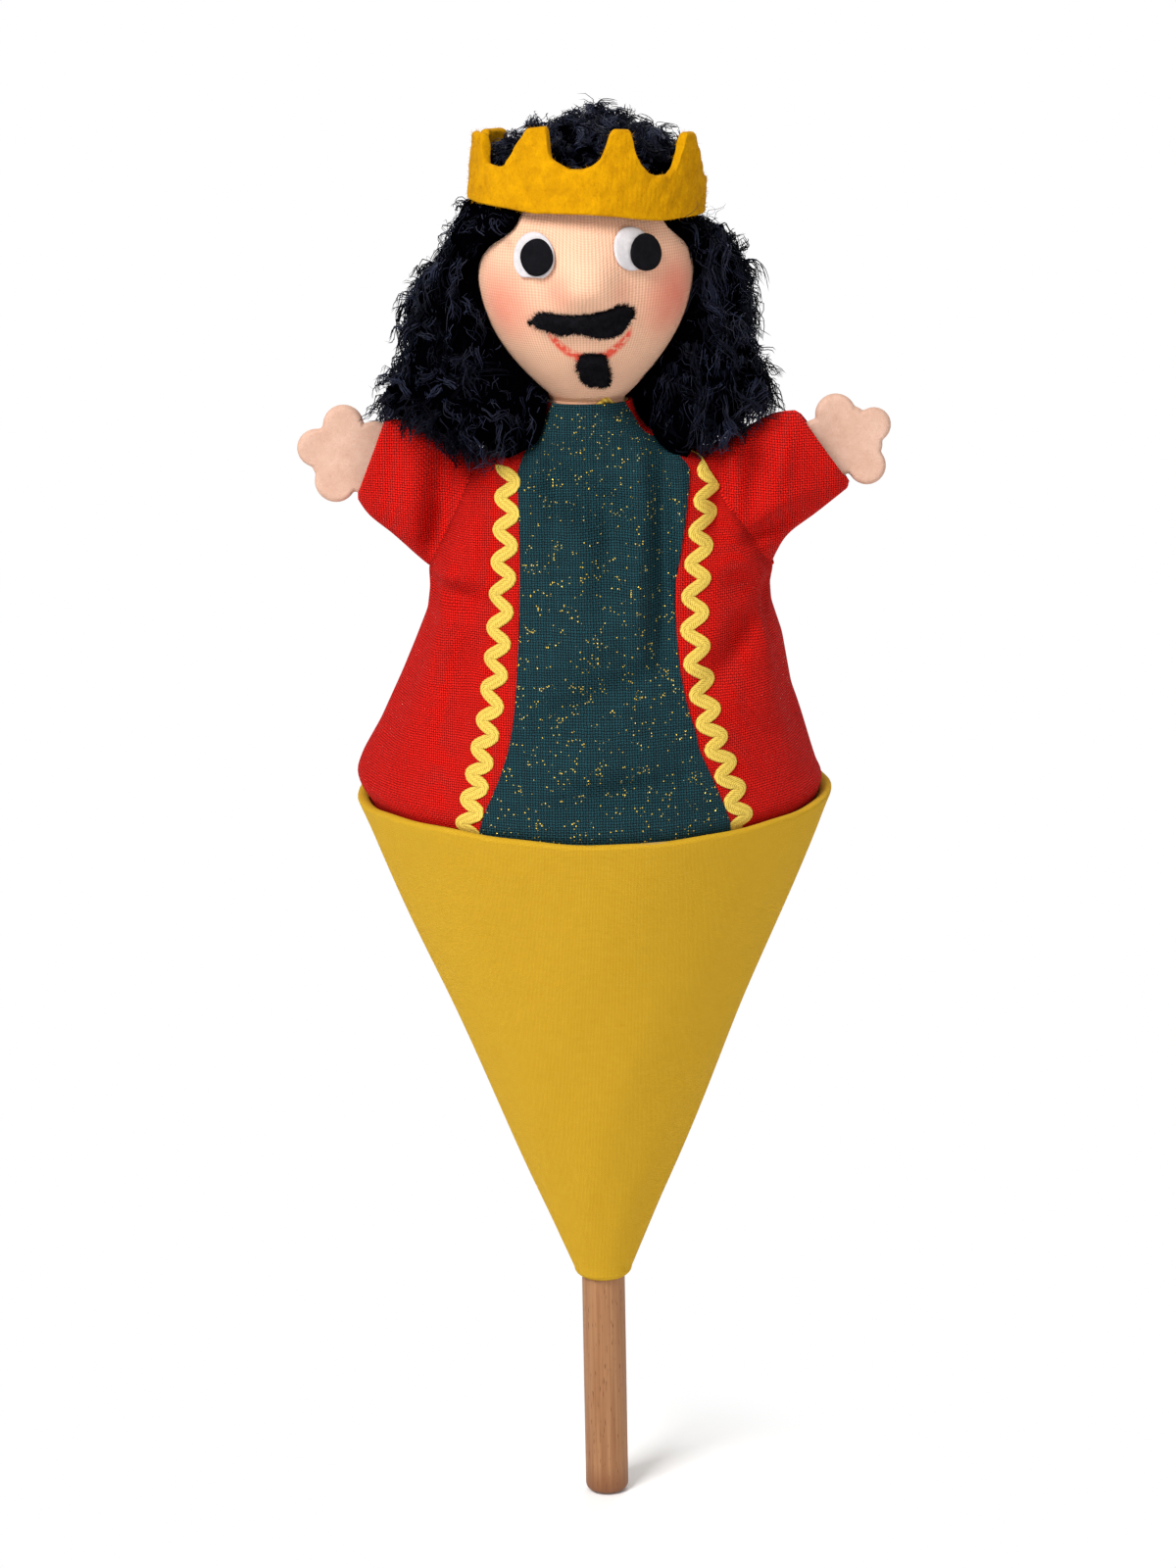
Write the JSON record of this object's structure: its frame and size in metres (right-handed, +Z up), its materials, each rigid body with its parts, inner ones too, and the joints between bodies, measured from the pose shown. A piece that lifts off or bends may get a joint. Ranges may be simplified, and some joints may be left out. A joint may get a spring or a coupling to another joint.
{
  "type": "pop-up puppet",
  "caption": "King puppet on a wooden rod, with a crown, curly wig and red robe, that rises out of a cloth-covered cone.",
  "frame": {"origin": "centre of the flat on the rod's lower end, with the puppet raised out of its cone", "axes": "+Z up along the rod towards the crown, -Y towards where the face looks, +X to the right of the picture"},
  "size_m": [0.1459, 0.119, 0.3566],
  "materials": {
    "beech": "sanded, unvarnished",
    "card": "plain rolled card",
    "wadding": "pressed wadding",
    "jersey": "fine knit",
    "white_felt": "felt",
    "black_felt": "felt",
    "plush": "curled pile",
    "crown_felt": "felt",
    "yellow_thread": "twisted cotton",
    "red_cloth": "plain weave",
    "green_lame": "fine weave with gold flecks",
    "rickrack": "woven braid",
    "hand_felt": "felt",
    "yellow_cloth": "fine weave"
  },
  "bodies": {
    "puppet": {"rod": "beech", "head_core": "wadding", "nose_pad": "wadding", "head_skin": "jersey", "eye_white_left": "white_felt", "eye_white_right": "white_felt", "pupil_left": "black_felt", "pupil_right": "black_felt", "moustache": "black_felt", "goatee": "black_felt", "wig_top": "plush", "wig_left": "plush", "wig_right": "plush", "wig_back": "plush", "crown": "crown_felt", "neck_thread": "yellow_thread"},
    "robe": {"robe_front_left": "red_cloth", "robe_front_right": "red_cloth", "robe_back": "red_cloth", "front_panel": "green_lame", "rickrack_left": "rickrack", "rickrack_right": "rickrack"},
    "left_arm": {"sleeve_left": "red_cloth", "hand_left": "hand_felt"},
    "right_arm": {"sleeve_right": "red_cloth", "hand_right": "hand_felt"},
    "cone": {"cone_card": "card", "cone_cover": "yellow_cloth", "tip_guide": "beech"}
  },
  "joints": [
    {"name": "robe_turn", "type": "hinge", "parent": "puppet", "child": "robe", "pos_m": [0, 0, 0.285], "axis": [0, 0, 1], "range_deg": [-45, 45]},
    {"name": "cone_slide", "type": "slide", "parent": "robe", "child": "cone", "axis": [0, 0, 1], "range_m": [0, 0.166], "deforming": ["robe_front_left", "robe_front_right", "robe_back", "front_panel", "rickrack_left", "rickrack_right", "sleeve_left", "sleeve_right", "hand_left", "hand_right", "wig_left", "wig_right", "wig_back"]},
    {"name": "left_arm_fold", "type": "hinge", "parent": "robe", "child": "left_arm", "pos_m": [-0.015, 0, 0.272], "axis": [0, 1, 0], "range_deg": [0, 62.5]},
    {"name": "right_arm_fold", "type": "hinge", "parent": "robe", "child": "right_arm", "pos_m": [0.015, 0, 0.272], "axis": [0, -1, 0], "range_deg": [0, 62.5]}
  ],
  "couplings": [
    {"joint": "left_arm_fold", "follows": "cone_slide", "rad_per_m": 6.5},
    {"joint": "right_arm_fold", "follows": "cone_slide", "rad_per_m": 6.5}
  ]
}
